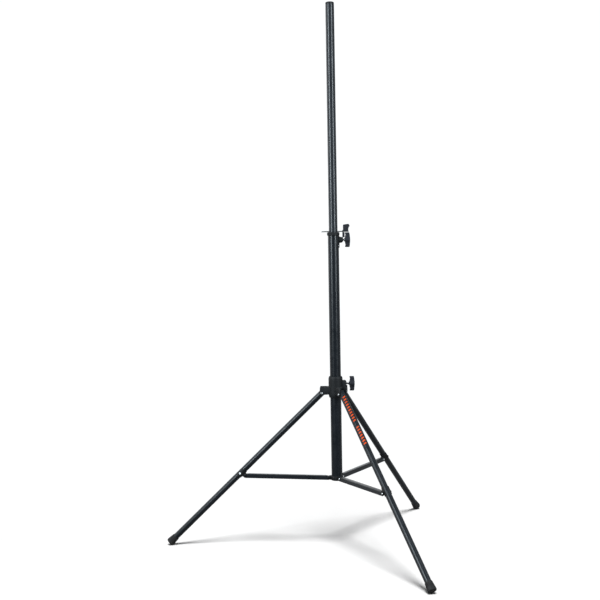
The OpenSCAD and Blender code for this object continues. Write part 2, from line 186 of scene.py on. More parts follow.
def rounded(points, radius, closed=True, steps=3):
    """The outline with its corners turned into arcs of that radius, or as much of it as fits."""
    made = []
    for i, point in enumerate(points):
        corner = Vector(point)
        back = Vector(points[i - 1]) - corner
        ahead = Vector(points[(i + 1) % len(points)]) - corner
        at_end = not closed and i in (0, len(points) - 1)
        if at_end or abs(back.angle(ahead) - math.pi) < 0.05:
            made.append(tuple(corner))
            continue
        half = back.angle(ahead) / 2
        reach = min(radius / math.tan(half), 0.45 * back.length, 0.45 * ahead.length)
        fillet = reach * math.tan(half)
        middle = corner + (back.normalized() + ahead.normalized()).normalized() * fillet / math.sin(half)
        start = corner + back.normalized() * reach - middle
        end = corner + ahead.normalized() * reach - middle
        for step in range(steps + 1):
            made.append(tuple(middle + start.lerp(end, step / steps).normalized() * fillet))
    return made


def grooves(radius, heights, depth, width):
    """Profile points for small round-bottomed grooves cut into a lathe's side at those heights."""
    points = []
    for height in heights:
        step = math.copysign(width / 2, heights[-1] - heights[0])
        points += [(radius, height - step), (radius - depth * 0.8, height - step / 2),
                   (radius - depth, height), (radius - depth * 0.8, height + step / 2),
                   (radius, height + step)]
    return points


def bridge(bm, lower, upper):
    """Faces between two rings of vertices, either of which may be a single vertex."""
    count = max(len(lower), len(upper))
    for i in range(count):
        j = (i + 1) % count
        corners = []
        for ring, picks in ((lower, (i, j)), (upper, (j, i))):
            corners += [ring[0]] if len(ring) == 1 else [ring[k] for k in picks]
        bm.faces.new(corners)


def add_lathe(bm, profile, place=Matrix(), closed=False, segments=SEGMENTS, radius=None):
    """A solid of revolution about Z. profile is (radius, height) points, and radius(angle, r, z) may
    reshape a ring into a hexagon or a thread."""
    rings = []
    for r, z in profile:
        if r < 1e-6:
            rings.append([bm.verts.new(place @ Vector((0, 0, z)))])
            continue
        ring = []
        for i in range(segments):
            angle = 2 * math.pi * i / segments
            size = radius(angle, r, z) if radius else r
            ring.append(bm.verts.new(place @ Vector((size * math.cos(angle), size * math.sin(angle), z))))
        rings.append(ring)
    for lower, upper in zip(rings, rings[1:]):
        bridge(bm, lower, upper)
    if closed:
        bridge(bm, rings[-1], rings[0])


def add_prism(bm, outline, low, high, edge, place=Matrix(), steps=3):
    """An outline in X and Y made solid from z = low to z = high, with its rims rounded by edge."""
    solid = bmesh.new()
    levels = [[solid.verts.new((x, y, z)) for x, y in outline] for z in (low, high)]
    rims = [solid.faces.new(list(reversed(levels[0]))), solid.faces.new(levels[1])]
    bridge(solid, *levels)
    edges = list({e for face in rims for e in face.edges})
    if edge:
        bmesh.ops.bevel(solid, geom=edges, offset=edge, segments=steps, profile=0.5,
                        affect="EDGES", clamp_overlap=True)
    solid.transform(place)
    part = bpy.data.meshes.new("part")
    solid.to_mesh(part)
    bm.from_mesh(part)
    bpy.data.meshes.remove(part)
    solid.free()


def add_block(bm, x, y, z, edge, place=Matrix()):
    """A block with rounded edges between pairs of limits."""
    outline = rounded([(x[0], y[0]), (x[1], y[0]), (x[1], y[1]), (x[0], y[1])], edge)
    add_prism(bm, outline, z[0], z[1], edge * 0.9, place)


def hexagon(angle, r, z):
    """Distance from the middle to a hexagon's side, for a hexagon r from middle to corner."""
    within = (angle + math.pi / 6) % (math.pi / 3) - math.pi / 6
    return r * math.cos(math.pi / 6) / math.cos(within)


def make_piece(name, bm, place, material, body, replaces=()):
    """The finished object: bm is in millimetres in the frame place."""
    bm.transform(place)
    bmesh.ops.recalc_face_normals(bm, faces=bm.faces)
    mesh = bpy.data.meshes.new(name)
    bm.to_mesh(mesh)
    bm.free()
    mesh.shade_smooth()
    mesh.set_sharp_from_angle(angle=SMOOTH_ANGLE)
    mesh.materials.append(material)
    piece = bpy.data.objects.new(name, mesh)
    bpy.context.scene.collection.objects.link(piece)
    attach(piece, body)
    if replaces:
        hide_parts(*replaces)
    return piece


# ---- materials ----

class Finish:
    """A procedural material: its Principled shader, and short ways to add the nodes that feed it."""

    def __init__(self, name, **inputs):
        self.material = bpy.data.materials.new(name)
        self.material.use_nodes = True
        self.tree = self.material.node_tree
        self.shader = self.tree.nodes["Principled BSDF"]
        for key, value in inputs.items():
            self.shader.inputs[key.replace("_", " ")].default_value = value
        self.coords = self.tree.nodes.new("ShaderNodeTexCoord").outputs["Object"]
        self.normal = None

    def node(self, kind, inputs=(), **settings):
        made = self.tree.nodes.new(kind)
        for key, value in settings.items():
            setattr(made, key, value)
        for key, value in dict(inputs).items():
            if isinstance(value, bpy.types.NodeSocket):
                self.tree.links.new(value, made.inputs[key])
            else:
                made.inputs[key].default_value = value
        return made

    def noise(self, scale, detail=4.0, stretch=None):
        """Noise with `scale` waves to the metre. stretch squeezes or stretches it along X, Y and Z."""
        coords = self.coords
        if stretch:
            coords = self.node("ShaderNodeMapping", {"Vector": coords, "Scale": stretch}).outputs[0]
        made = self.node("ShaderNodeTexNoise", {"Vector": coords, "Scale": scale, "Detail": detail})
        return made.outputs["Fac"]

    def span(self, value, low, high, start=0.35, end=0.65):
        """value's stretch from start to end turned into low to high."""
        return self.node("ShaderNodeMapRange", {"Value": value, "From Min": start, "From Max": end,
                                                "To Min": low, "To Max": high}).outputs[0]

    def mix(self, share, first, second):
        made = self.node("ShaderNodeMix", data_type="RGBA")
        colours = [s for s in made.inputs if s.type == "RGBA"]
        for socket, value in zip([made.inputs[0], *colours], (share, first, second)):
            if isinstance(value, bpy.types.NodeSocket):
                self.tree.links.new(value, socket)
            else:
                socket.default_value = value if isinstance(value, float) else (*value, 1.0)
        return next(s for s in made.outputs if s.type == "RGBA")

    def times(self, first, second):
        made = self.node("ShaderNodeMath", {0: first, 1: second}, operation="MULTIPLY")
        return made.outputs[0]

    def bump(self, height, distance, strength=1.0):
        """Adds relief `distance` metres deep to what there is."""
        inputs = {"Height": height, "Distance": distance, "Strength": strength}
        if self.normal:
            inputs["Normal"] = self.normal
        self.normal = self.node("ShaderNodeBump", inputs).outputs[0]

    def worn_edges(self, radius):
        """0 on open surfaces, and 1 where an edge sharper than the radius is rubbed."""
        soft = self.node("ShaderNodeBevel", {"Radius": radius}, samples=4).outputs[0]
        flat = self.node("ShaderNodeNewGeometry").outputs["Normal"]
        facing = self.node("ShaderNodeVectorMath", {0: soft, 1: flat}, operation="DOT_PRODUCT")
        return self.span(facing.outputs["Value"], 1.0, 0.0, 0.90, 0.99)

    def done(self, colour=None, roughness=None):
        for name, value in (("Base Color", colour), ("Roughness", roughness), ("Normal", self.normal)):
            if value is not None:
                self.tree.links.new(value, self.shader.inputs[name])
        return self.material


def powder_coat(name, dark, light, low_gloss, high_gloss, streaks=0.0):
    """Semi-gloss black powder coat: orange peel, faint handling marks, and upright rub marks on the mast."""
    finish = Finish(name, Metallic=0.0, IOR=1.5, Specular_IOR_Level=0.4)
    patches = finish.noise(11, 6)
    scuffs = finish.span(finish.noise(95, 5), 0.0, 1.0, 0.60, 0.74)
    colour = finish.mix(finish.span(patches, 0.0, 1.0), dark, light)
    worn = tuple(min(1.0, c * 2.6) for c in light)
    colour = finish.mix(finish.times(scuffs, 0.35), colour, worn)
    roughness = finish.span(finish.noise(42, 5), low_gloss, high_gloss)
    if streaks:
        lines = finish.span(finish.noise(300, 2, (1, 1, 0.01)), 0.0, 1.0, 0.56, 0.72)
        rubbed = finish.times(finish.span(finish.noise(7, 3), 0.0, 1.0, 0.42, 0.62), lines)
        colour = finish.mix(finish.times(rubbed, streaks), colour, (0.05, 0.053, 0.058))
        finish.bump(lines, 0.000005, 0.25)
    finish.bump(finish.noise(650, 2), 0.00001, 0.25)
    finish.bump(finish.noise(3200, 1), 0.000002, 0.25)
    return finish.done(colour, roughness)


def moulded_nylon(name, dark, light, low_gloss, high_gloss, grain=0.00003):
    """Black glass-filled nylon: fine spark-eroded grain, flow marks and edges rubbed a little paler."""
    finish = Finish(name, IOR=1.53, Specular_IOR_Level=0.3)
    colour = finish.mix(finish.span(finish.noise(26, 5), 0.0, 1.0), dark, light)
    rubbed = finish.times(finish.worn_edges(0.0008), finish.span(finish.noise(120, 4), 0.15, 0.8))
    colour = finish.mix(rubbed, colour, (0.035, 0.036, 0.039))
    finish.bump(finish.noise(1900, 3), grain, 0.4)
    finish.bump(finish.noise(60, 3), 0.0001, 0.08)
    return finish.done(colour, finish.span(finish.noise(75, 5), low_gloss, high_gloss))


def rubber(name):
    """Soft black rubber: matt, with floor dust on it."""
    finish = Finish(name, IOR=1.5, Specular_IOR_Level=0.3)
    dust = finish.times(finish.span(finish.noise(140, 6), 0.0, 1.0, 0.5, 0.72), 0.55)
    patches = finish.span(finish.noise(30, 4), 0.0, 1.0)
    colour = finish.mix(patches, (0.006, 0.006, 0.007), (0.011, 0.011, 0.012))
    colour = finish.mix(dust, colour, (0.035, 0.034, 0.032))
    finish.bump(finish.noise(1400, 3), 0.00008, 0.5)
    return finish.done(colour, finish.span(dust, 0.62, 0.88, 0.0, 0.5))


def zinc(name, bright, stained):
    """Zinc plate: fine brushing, with duller patches."""
    finish = Finish(name, Metallic=1.0)
    dull = finish.span(finish.noise(260, 5), 0.0, 1.0, 0.42, 0.68)
    colour = finish.mix(dull, bright, stained)
    finish.bump(finish.noise(2600, 2, (1, 1, 0.2)), 0.00002, 0.4)
    return finish.done(colour, finish.span(dull, 0.22, 0.45, 0.0, 1.0))


def natural_nylon(name):
    """Off-white nylon of the pressure pads and the pole's guide."""
    finish = Finish(name, IOR=1.53, Subsurface_Weight=0.2, Subsurface_Scale=0.002)
    colour = finish.mix(finish.span(finish.noise(90, 5), 0.0, 1.0), (0.74, 0.72, 0.64), (0.62, 0.60, 0.53))
    finish.bump(finish.noise(1200, 3), 0.00004, 0.4)
    return finish.done(colour, finish.span(finish.noise(300, 3), 0.38, 0.55))


def printed_ink(name):
    """Orange screen print, a little uneven, with the powder coat showing through where it is worn."""
    finish = Finish(name, IOR=1.48, Specular_IOR_Level=0.25)
    worn = finish.span(finish.noise(420, 5), 0.0, 1.0, 0.60, 0.70)
    patches = finish.span(finish.noise(55, 4), 0.0, 1.0)
    colour = finish.mix(patches, (0.50, 0.060, 0.008), (0.38, 0.042, 0.006))
    colour = finish.mix(finish.times(worn, 0.8), colour, (0.03, 0.028, 0.028))
    finish.bump(finish.noise(650, 2), 0.00005, 0.35)
    return finish.done(colour, finish.span(finish.noise(200, 3), 0.36, 0.52))


POLE_COAT = powder_coat("pole_coat", (0.010, 0.012, 0.015), (0.014, 0.017, 0.021), 0.24, 0.34, streaks=0.2)
TUBE_COAT = powder_coat("tube_coat", (0.004, 0.006, 0.008), (0.007, 0.009, 0.012), 0.26, 0.36, streaks=0.15)
LEG_COAT = powder_coat("leg_coat", (0.004, 0.006, 0.008), (0.007, 0.009, 0.012), 0.32, 0.42)
CAST = moulded_nylon("cast_nylon", (0.004, 0.005, 0.006), (0.007, 0.008, 0.009), 0.50, 0.66)
KNOB = moulded_nylon("knob_nylon", (0.008, 0.009, 0.013), (0.012, 0.013, 0.018), 0.46, 0.60, grain=0.00002)
RUBBER = rubber("rubber")
ZINC = zinc("zinc", (0.78, 0.80, 0.82), (0.52, 0.52, 0.50))
# for the heads that show no highlight: a darker copy of the zinc, which paints shade on
# them; for the heads that the photograph does not show bright
SHADED_ZINC = zinc("shaded_zinc", (0.045, 0.045, 0.05), (0.02, 0.02, 0.022))
NYLON = natural_nylon("natural_nylon")
INK = printed_ink("orange_ink")


def finish_cad_nodes():
    """Puts a finish on each CAD node that stays as it is."""
    finishes = {
        "main_tube": TUBE_COAT, "pole": POLE_COAT, "pole_guide": NYLON,
        "upper_pad": NYLON, "lower_pad": NYLON, "clamp_nut": ZINC, "collar_nut": ZINC,
        "pin_rod": ZINC, "leg_decal": INK,
    }
    for leg in LEGS:
        finishes[f"leg_tube_{leg}"] = LEG_COAT
        finishes[f"leg_pivot_{leg}"] = ZINC
    for name, material in finishes.items():
        mesh = frame["nodes"][name].data
        mesh.materials.clear()
        mesh.materials.append(material)


# ---- small parts ----

def add_rivet_head(bm, radius, height, place):
    """A domed rivet head on z = 0, with the dimple that setting the rivet leaves."""
    dome = [(radius * math.cos(a), 0.5 + (height - 0.5) * math.sin(a))
            for a in (math.radians(d) for d in range(0, 80, 13))]
    add_lathe(bm, [(0, -0.6), (radius * 0.5, -0.6), (radius, 0.0), *dome,
                   (radius * 0.22, height), (radius * 0.16, height - 0.5), (0, height - 0.6)],
              place, segments=32)


def add_rod(bm, radius, low, high, place, chamfer=0.3):
    """A plain rod along Z with broken edges."""
    add_lathe(bm, [(0, low), (radius - chamfer, low), (radius, low + chamfer),
                   (radius, high - chamfer), (radius - chamfer, high), (0, high)], place, segments=32)


def add_button_head(bm, radius, height, place):
    """A button head with a hexagon socket, standing on z = 0."""
    socket = radius * 0.42
    floor = height * 0.35

    def shape(angle, r, z):
        return hexagon(angle, r, z) if r <= socket + 1e-6 else r

    crown = [(radius * math.cos(a), height * 0.15 + height * 0.85 * math.sin(a))
             for a in (math.radians(d) for d in range(0, 61, 12))]
    add_lathe(bm, [(0, 0), (radius - 0.2, 0), *crown, (socket + 0.35, height), (socket, height - 0.25),
                   (socket, floor), (0, floor - 0.4)], place, segments=48, radius=shape)


def add_lock_nut(bm, radius, height, place):
    """A hexagon nut with chamfered corners and a nylon-insert collar, standing on z = 0."""
    flat = radius * math.cos(math.pi / 6)
    body = height * 0.68

    def shape(angle, r, z):
        if r < flat:
            return r
        chamfer = max(0.0, 0.9 - min(z, body - z) * 1.6)
        return min(hexagon(angle, radius, z), radius - chamfer * 0.55)

    levels = [0.0, 0.3, 0.6, body - 0.6, body - 0.3, body]
    sides = [(radius, z) for z in levels]
    add_lathe(bm, [(0, 0), (flat - 0.4, 0), *sides, (flat - 0.5, body), (flat - 0.7, height - 0.7),
                   (flat - 1.4, height), (3.2, height), (2.9, height - 0.5), (0, height - 0.5)],
              place, segments=72, radius=shape)


def add_thread(bm, radius, low, high, pitch, place):
    """A stud along Z with a cut helical thread."""
    rows = round((high - low) / (pitch / 6))
    depth = pitch * 0.5

    def helix(angle, r, z):
        turn = (z / pitch - angle / (2 * math.pi)) % 1.0
        return r - depth * min(1.0, max(0.0, 2.4 * abs(turn - 0.5) - 0.1))

    sides = [(radius, low + (high - low) * i / rows) for i in range(rows + 1)]
    add_lathe(bm, [(0, low), *sides, (0, high)], place, segments=24, radius=helix)


def add_t_knob(bm, neck_start, neck, thick, half_span, place):
    """A moulded T knob along Z: neck, crowned wings along X with finger hollows, and a centre cap."""
    wing, core = 8.0, 12.5
    start = neck_start + neck
    crown, edge = 160.0, 2.8
    steps = 96

    def reach(angle):
        """Distance from the middle to the outline of the wings and round core, smoothly joined."""
        along, across = abs(math.cos(angle)), abs(math.sin(angle))
        flat = wing / max(across, 1e-6)
        tip = half_span - wing
        root = max(0.0, wing * wing - (tip * across) ** 2)
        stadium = min(flat, tip * along + math.sqrt(root)) if flat * along > tip else flat
        return (stadium ** 8 + core ** 8) ** (1 / 8)

    def top_height(x):
        return start + thick - (crown - math.sqrt(crown * crown - x * x))

    def under_height(x, y):
        bend = 12.0 ** 2 - (abs(x) - half_span * 0.66) ** 2
        return start + max(0.0, math.sqrt(max(0.0, bend)) - 10.0)

    rings = []
    round_over = [(0.0, 1.0), (0.08, 0.62), (0.29, 0.29), (0.62, 0.08), (1.0, 0.0)]
    shares = (0.25, 0.5, 0.7, 0.85)
    for side in ("under", "top"):
        rows = []
        for share in shares:
            rows.append([(share, 0.0, 0.0)] * steps)
        for inward, drop in reversed(round_over):
            rows.append([(1.0, inward, drop)] * steps)
        made = []
        for row in rows:
            ring = []
            for i, (share, inward, drop) in enumerate(row):
                angle = 2 * math.pi * i / steps
                outer = reach(angle)
                r = share * (outer - edge) if share < 1.0 else outer - edge * inward
                x, y = r * math.cos(angle), r * math.sin(angle)
                if side == "top":
                    z = top_height(x) - edge * drop
                else:
                    z = under_height(x, y) + edge * drop
                ring.append(bm.verts.new(place @ Vector((x, y, z))))
            made.append(ring)
        middle = top_height(0) if side == "top" else under_height(0, 0)
        made.insert(0, [bm.verts.new(place @ Vector((0, 0, middle)))])
        for lower, upper in zip(made, made[1:]):
            bridge(bm, lower, upper)
        rings.append(made[-1])
    bridge(bm, *rings)
    add_lathe(bm, rounded([(0, neck_start), (6, neck_start), (10.6, start + 2.5), (0, start + 2.5)], 0.8,
                          closed=False), place)
    cap_z = start + thick
    add_lathe(bm, [(0, cap_z - 2), (8.2, cap_z - 2), (8.2, cap_z + 0.05), (7.7, cap_z + 0.35),
                   (6.2, cap_z + 0.35), (5.8, cap_z + 0.1), (0, cap_z + 0.1)], place, segments=48)
    for side in (-1, 1):
        for x in (17.5, 20.5, 23.5):
            for face in (-1, 1):
                y = face * (wing + 0.1)
                low_y, high_y = sorted((y, y - face * 1.5))
                add_block(bm, (side * x - 0.6, side * x + 0.6), (low_y, high_y),
                          (start + 6, start + thick - 6), 0.4, place)


# ---- mast ----

def make_upper_bush():
    bm = bmesh.new()
    bore = POLE_R + SLIDE_GAP
    flange = half_width("upper_bush")
    sleeve = TUBE_R - 1.65
    sleeve_end, tube_end, skirt = BUSH_TOP - 80, BUSH_TOP - 8, BUSH_TOP - 14
    profile = rounded([
        (bore, sleeve_end), (sleeve, sleeve_end), (sleeve, tube_end), (TUBE_SEAT, tube_end),
        (TUBE_SEAT, skirt), (TUBE_R + 1, skirt), (flange, BUSH_TOP - 10),
    ], 0.5)
    profile += grooves(flange, [BUSH_TOP - 7.5, BUSH_TOP - 5], 0.45, 0.9)
    profile += rounded([(flange, BUSH_TOP - 2), (flange - 2, BUSH_TOP), (bore + 1.2, BUSH_TOP),
                        (bore, BUSH_TOP - 1.2)], 0.6, closed=False)
    add_lathe(bm, profile, closed=True, segments=96)
    make_piece("bush_flange", bm, mast, CAST, "mast", ["upper_bush"])


def make_clamp_housing():
    bm = bmesh.new()
    low, high = bottom("clamp_housing"), top("clamp_housing")
    reach = math.degrees(math.atan2(44, 40))      # how far the shell wraps round the tube, each way
    shell = arc((0, 0), TUBE_R + CAST_SKIN, -reach, reach, 24) + arc((0, 0), TUBE_SEAT, reach, -reach, 24)
    add_prism(bm, rounded(shell, 0.6), low, high, 0.9)
    end = (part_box("clamp_housing")[1].x - MAST_X) / MM
    root = TUBE_R + 0.5
    boss = rounded([(0, root), (13, root), (11, end), (6.4, end), (6.0, end - 0.8), (0, end - 0.8)], 0.8,
                   closed=False)
    add_lathe(bm, boss, shifted(z=CLAMP_Z) @ TO_X)
    make_piece("housing_shell", bm, mast, CAST, "mast", ["clamp_housing"])


def make_clamp_rivets():
    bm = bmesh.new()
    below_stud = 24
    for turn in (-24, 24):
        place = Matrix.Rotation(math.radians(turn), 4, "Z") @ shifted(z=CLAMP_Z - below_stud) @ TO_X
        add_rod(bm, 2.0, TUBE_R - 1.4, TUBE_R + 3.0, place)
        add_rivet_head(bm, 3.6, 1.6, place @ shifted(z=TUBE_R + HEAD_SEAT))
    make_piece("housing_rivets", bm, mast, ZINC, "mast", ["clamp_rivets"])


def make_pin_keeper():
    bm = bmesh.new()
    start = (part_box("pin_keeper")[0].x - MAST_X) / MM
    rise = PIN_Z - CLAMP_Z
    eye, pin_eye, half, thick = 8.0, 6.0, 3.5, 2.5
    low_cut = math.degrees(math.acos(half / eye))
    high_cut = math.degrees(math.acos(half / pin_eye))
    outline = arc((0, 0), eye, low_cut, low_cut - 360 + 2 * (90 - low_cut), 28)
    outline += arc((0, rise), pin_eye, 180 + high_cut, -high_cut, 24)
    # the outline's X is the strap's width, along Y, and its Y goes up
    place = shifted(x=start, z=CLAMP_Z) @ Matrix(((0, 0, 1, 0), (1, 0, 0, 0), (0, 1, 0, 0), (0, 0, 0, 1)))
    add_prism(bm, outline, 0, thick, 0.6, place)
    # a thicker web between the eyes, from the stud's side up to just under the pin
    add_block(bm, (-half, half), (10, rise - 3.3), (0.6, 9), 1.2, place)
    make_piece("keeper_strap", bm, mast, KNOB, "mast", ["pin_keeper"])


def make_hub():
    bm = bmesh.new()
    low, high = bottom("hub"), top("hub")
    ring_r = TUBE_R + CAST_SKIN
    drain_r, floor = 8, 3
    profile = rounded([
        (drain_r, low), (ring_r - 2, low), (ring_r, low + 2), (ring_r, high - 1), (ring_r - 1, high),
        (TUBE_SEAT, high), (TUBE_SEAT, low + floor), (drain_r, low + floor),
    ], 0.7)
    add_lathe(bm, profile, closed=True, segments=96)
    lug_r, half, root = 6.7, 7.0, 8.3          # the lug's eye, half of its width, half of its root's height
    for leg in LEGS:
        turn = mast.inverted() @ turned(leg)
        lug = [(ring_r - 3, root), (ring_r - 3, -root), (ring_r + 2.8, -root),
               *arc((HUB_REACH, 0), lug_r, -90, 90, 16), (ring_r + 2.8, root)]
        add_prism(bm, lug, -half, half, 0.8, turn @ shifted(z=HUB_Z) @ UPRIGHT)
    make_piece("hub_casting", bm, mast, CAST, "mast", ["hub"])


def make_hub_screws():
    bm = bmesh.new()
    for turn in (0, 120, 240):
        place = Matrix.Rotation(math.radians(turn), 4, "Z") @ shifted(z=HUB_Z) @ TO_X
        add_button_head(bm, 4.0, 1.8, place @ shifted(z=TUBE_R + HEAD_SEAT))
    # the darker zinc copy paints shade on these heads
    make_piece("hub_bolts", bm, mast, SHADED_ZINC, "mast", ["hub_screws"])


# ---- pole, clamps and pin ----

def make_pole_cap():
    bm = bmesh.new()
    r = POLE_R - 0.3
    rib = [(5.2, POLE_TOP), (4.8, POLE_TOP - 0.5), (4.2, POLE_TOP - 0.5), (3.8, POLE_TOP)]
    plug_r, plug_end, pole_end = POLE_R - 2, POLE_TOP - 30, POLE_TOP - 8
    side = rounded([(0, plug_end), (plug_r, plug_end), (plug_r, pole_end), (r, pole_end), (r, POLE_TOP - 3),
                    (r - 1, POLE_TOP - 1), (r - 3, POLE_TOP), (9, POLE_TOP)], 0.8, closed=False)
    add_lathe(bm, [*side, *rib, (1.1, POLE_TOP), (0.8, POLE_TOP - 0.3), (0, POLE_TOP - 0.3)])
    make_piece("pole_end_cap", bm, mast, CAST, "pole", ["pole_cap"])


def make_clamp(side, height):
    """A clamp's knob and threaded stud: side is upper or lower."""
    place = mast @ shifted(z=height) @ TO_X @ Matrix.Rotation(math.radians(180), 4, "Z")
    inside = place.inverted()
    ends = {}
    for node in (f"{side}_knob", f"{side}_stud"):
        points = [inside @ v.co for v in frame["nodes"][node].data.vertices]
        ends[node] = (min(p.z for p in points), max(p.z for p in points), max(p.x for p in points))
    start, end, half_span = ends[f"{side}_knob"]
    neck, cap_rise = 3.5, 0.4
    bm = bmesh.new()
    add_t_knob(bm, start, neck, end - start - neck - cap_rise, half_span, place=Matrix())
    make_piece(f"{side}_t_knob", bm, place, KNOB, f"{side}_knob", [f"{side}_knob"])
    bm = bmesh.new()
    stud_start, stud_end, _ = ends[f"{side}_stud"]
    add_thread(bm, 4.0, stud_start, min(stud_end, start + 4), 1.25, Matrix())
    make_piece(f"{side}_threaded_stud", bm, place, ZINC, f"{side}_knob", [f"{side}_stud"])


def make_pin_grip():
    bm = bmesh.new()
    outline = [(39.4, 0.6), (39.2, 25), (42, 27), (60, 29.5), (64, 27), (66, 21), (64, 17.5), (60.5, 17.5),
               (60.5, 0.6)]
    place = shifted(z=PIN_Z) @ UPRIGHT
    add_prism(bm, rounded(outline, 2.5), -6, 6, 1.8, place)
    for z in (6, 10, 14, 18, 22):
        for face in (-1, 1):
            low, high = sorted((face * 5.6, face * 6.4))
            add_block(bm, (44, 57.5), (z - 0.7, z + 0.7), (low, high), 0.35, place)
    make_piece("pin_handle", bm, mast, KNOB, "safety_pin", ["pin_grip"])


# ---- collar ----

def make_leg_collar():
    bm = bmesh.new()
    low, high = COLLAR_Z - 18, COLLAR_Z + 65.5
    bore, outer = 25.0, 28.5
    profile = rounded([(bore, high), (bore, low), (25.9, low), (outer, low + 11)], 0.6, closed=False)
    profile += grooves(outer, [low + 14, low + 17], 0.5, 1.2)
    profile += grooves(outer, [high - 14, high - 11], 0.5, 1.2)
    profile += rounded([(outer, high - 6), (26.5, high)], 0.6, closed=False)
    add_lathe(bm, profile, closed=True, segments=96)
    gap, cheek, out = 13.0, 4.0, COLLAR_REACH
    side_view = rounded([(20, -5), (20, 26), (out + 5, 26), (out + 7, 24), (out + 8.5, 3)], 1.5, closed=False)
    side_view += arc((out, 0), 8.5, 0, -140, 12)
    for leg in LEGS:
        turn = mast.inverted() @ turned(leg) @ shifted(z=COLLAR_Z)
        for side in (-1, 1):
            low_y, high_y = sorted((side * gap, side * (gap + cheek)))
            add_prism(bm, side_view, -high_y, -low_y, 0.9, turn @ UPRIGHT)
            head = TO_Y if side > 0 else TO_MINUS_Y
            add_lathe(bm, [(0, gap + 2), (7.4, gap + 2), (7.4, gap + cheek + 0.5), (7.0, gap + cheek + 0.9),
                           (0, gap + cheek + 0.9)], turn @ shifted(x=out) @ head, segments=48)
        add_block(bm, (20, 35), (-gap - 0.5, gap + 0.5), (-5, 26), 1.0, turn)
    boss = rounded([(24, 4), (40, 4), (43, 8), (43, 46), (39, 51), (24, 51)], 2.0)
    at_collar = shifted(z=COLLAR_Z)
    add_prism(bm, boss, -11, 11, 1.5, at_collar @ UPRIGHT)
    add_lathe(bm, [(0, 42), (8.6, 42), (8.6, 43.3), (8.1, 43.7), (5.2, 43.7), (4.8, 43.2), (0, 43.2)],
              shifted(z=STUD_Z) @ TO_X, segments=48)
    make_piece("collar_casting", bm, mast, CAST, "collar", ["leg_collar"])


def make_collar_bush():
    bm = bmesh.new()
    low, high = bottom("collar_bush"), top("collar_bush")
    bore = TUBE_R + SLIDE_GAP
    add_lathe(bm, rounded([(bore, low), (24.95, low), (24.95, high - 1.6), (26, high - 1.6), (25.5, high),
                           (bore + 0.8, high), (bore, high - 0.8)], 0.3), closed=True, segments=96)
    make_piece("collar_liner", bm, mast, CAST, "collar", ["collar_bush"])


def make_ear_rivets():
    bm = bmesh.new()
    for leg in LEGS:
        turn = mast.inverted() @ turned(leg) @ shifted(x=COLLAR_REACH, z=COLLAR_Z)
        for head in (TO_Y, TO_MINUS_Y):
            add_rod(bm, PIVOT_R, 13.1, 17.5, turn @ head)
            add_rivet_head(bm, 4.4, 2.4, turn @ head @ shifted(z=17.85))
    make_piece("ear_rivet_heads", bm, mast, ZINC, "collar", ["ear_rivets"])


# ---- legs and struts ----

def make_leg_plug(leg):
    bm = bmesh.new()
    plug_r, plug_end, leg_end = 11.2, -18, 9.05
    add_lathe(bm, [(0, plug_end), (plug_r, plug_end), (plug_r, leg_end), (LEG_R, leg_end), (LEG_R, 9.8),
                   *arc((LEG_R - 3.1, 9.9), 2.9, 0, 80, 5), (3, 13), (0, 13)])
    make_piece(f"leg_{leg}_cap", bm, leg_frames[leg], CAST, f"leg_{leg}", [f"leg_plug_{leg}"])


def make_leg_bracket(leg):
    bm = bmesh.new()
    reach, lug_r, root = 22.0, 6.7, -11.5
    outer, cut = 14.5, 7                       # the saddle is open on the leg's outer side, past x = cut
    open_turn = math.degrees(math.acos(cut / outer))
    saddle = arc((0, 0), outer, open_turn, 360 - open_turn, 40)
    saddle += arc((0, 0), LEG_SEAT, 360 - open_turn, open_turn, 40)
    add_prism(bm, saddle, BRACKET_Z - 20, BRACKET_Z + 14, 0.6)
    lug = [(root, BRACKET_Z + lug_r), *arc((-reach, BRACKET_Z), lug_r, 90, 255, 16), (root, BRACKET_Z - 13)]
    add_prism(bm, lug, -7, 7, 0.8, UPRIGHT)
    make_piece(f"leg_{leg}_bracket", bm, leg_frames[leg], CAST, f"leg_{leg}", [f"leg_bracket_{leg}"])


def make_bracket_bolt(leg):
    bm = bmesh.new()
    place = shifted(z=BOLT_Z)
    seat = 14.5                                # the outside of the bracket
    add_button_head(bm, 5.2, 3.0, place @ TO_Y @ shifted(z=seat))
    add_lock_nut(bm, 5.8, 4.2, place @ TO_MINUS_Y @ shifted(z=seat))
    add_rod(bm, PIVOT_R, 14, 19.4, place @ TO_MINUS_Y)
    # the bolts of legs b and c get the darker zinc copy, painted shade
    finish = ZINC if leg == "a" else SHADED_ZINC
    make_piece(f"leg_{leg}_bolt", bm, leg_frames[leg], finish, f"leg_{leg}", [f"bracket_bolt_{leg}"])


def make_foot(leg):
    bm = bmesh.new()
    end = FOOT_Z
    tread = [(0, end + 0.8), (3.0, end + 0.8), (3.6, end), (5.6, end), (6.2, end + 0.8), (7.6, end + 0.8),
             (8.2, end), (10.0, end), (10.6, end + 0.8), (11.8, end + 0.8), (12.4, end)]
    flare = rounded([(13.6, end), (16.0, end + 1.1), (17.0, end + 3.6), (16.8, end + 9), (16.2, end + 14)],
                    0.8, closed=False)
    ribs = []
    for i in range(5):
        z = end + 15.5 + 3.1 * i
        r = 16.1 - 0.3 * i
        ribs += [(r, z), (r - 0.7, z + 0.5), (r - 0.7, z + 1.3), (r - 0.15, z + 1.8)]
    lip = rounded([(14.6, end + 31.5), (14.4, end + 35), (13.7, end + 36), (LEG_SEAT, end + 36)], 0.5,
                  closed=False)
    sole = end + 6.2
    add_lathe(bm, [*tread, *flare, *ribs, *lip, (LEG_SEAT, sole), (0, sole)])
    place = leg_frames[leg]
    inside = place.inverted()
    for vert in bm.verts:                      # the rubber is pressed flat on the floor
        world = place @ vert.co
        if world.z < 0:
            world.z = 0
            vert.co = inside @ world
    make_piece(f"leg_{leg}_foot", bm, place, RUBBER, f"leg_{leg}", [f"foot_{leg}"])


